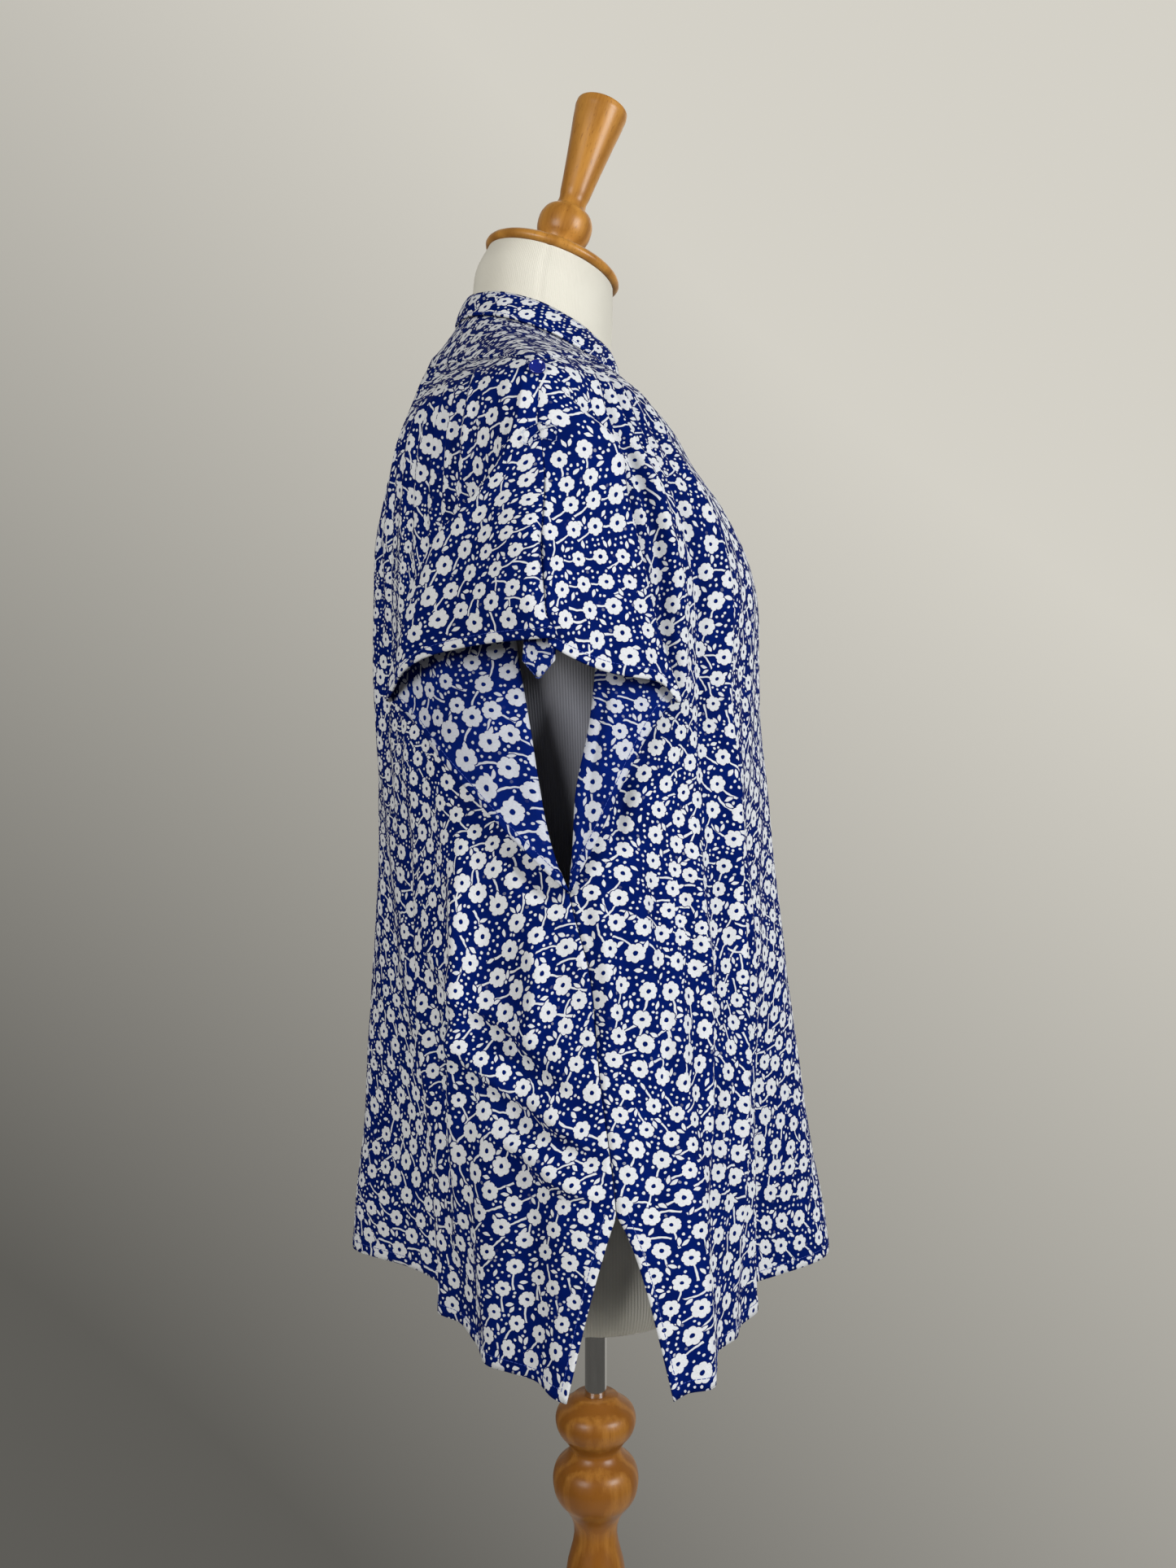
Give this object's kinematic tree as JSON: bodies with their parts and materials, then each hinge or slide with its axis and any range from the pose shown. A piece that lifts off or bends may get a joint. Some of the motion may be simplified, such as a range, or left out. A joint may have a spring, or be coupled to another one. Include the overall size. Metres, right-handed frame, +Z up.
{
  "type": "blouse on a limbless dress form",
  "caption": "Short-sleeved batwing blouse with yoke, stand collar, sleeve tabs and side slits, worn by a limbless dress form on a turned wooden stand.",
  "frame": {"origin": "on the floor under the middle of the stand's base", "axes": "+Z up along the pole and column, -Y the way the blouse's front faces, -X its right sleeve"},
  "size_m": [0.4254, 0.3492, 1.6154],
  "materials": {
    "printed_cloth": "matte woven crepe with a small off-white flower print",
    "button_resin": "gloss",
    "form_jersey": "matte ribbed jersey",
    "turned_wood": "satin varnish",
    "pole_chrome": "polished"
  },
  "bodies": {
    "root": {"back_panel": "printed_cloth", "front_panel": "printed_cloth", "yoke": "printed_cloth", "collar_stand": "printed_cloth", "sleeve_tab_right": "printed_cloth", "sleeve_tab_left": "printed_cloth", "shoulder_button_right": "button_resin", "shoulder_button_left": "button_resin", "form_torso": "form_jersey", "neck_disc": "turned_wood", "neck_handle": "turned_wood", "pole": "pole_chrome", "stand_column": "turned_wood", "stand_base": "turned_wood"}
  },
  "joints": []
}
